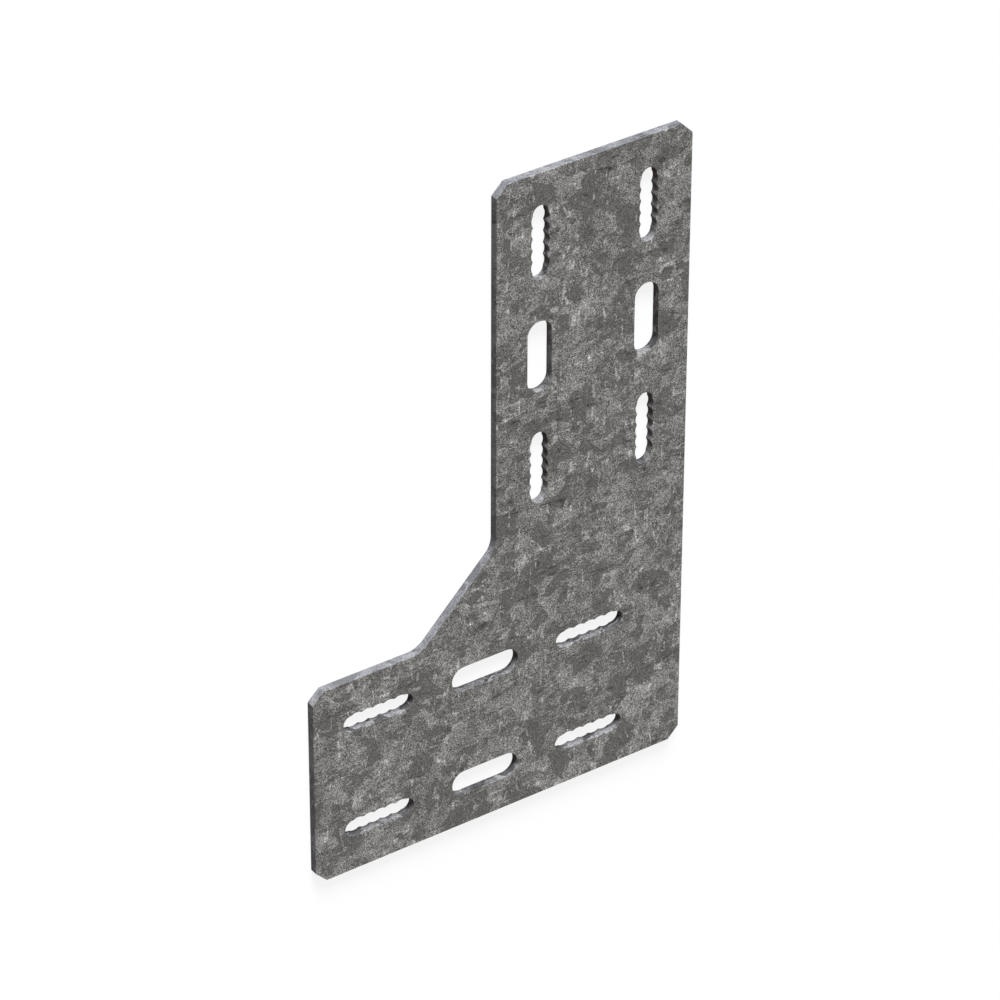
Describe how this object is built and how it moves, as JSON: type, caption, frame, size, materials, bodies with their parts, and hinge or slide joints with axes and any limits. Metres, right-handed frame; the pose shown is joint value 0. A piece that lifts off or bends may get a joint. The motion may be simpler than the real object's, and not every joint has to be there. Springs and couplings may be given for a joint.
{
  "type": "l-shaped connector plate",
  "caption": "Flat L-shaped galvanised steel connector plate with plain and toothed bolt slots along both legs and a slanting gusset in the inner corner.",
  "frame": {"origin": "middle of the plate's overall length and width, on its back face", "axes": "+X along the base leg from its free end to the tall leg, +Y up the tall leg, +Z out of the front face; the plate lies on its back face"},
  "size_m": [0.28, 0.456, 0.006],
  "materials": {
    "galvanised_steel": "matte"
  },
  "bodies": {
    "root": {"connector_plate": "galvanised_steel"}
  },
  "joints": []
}
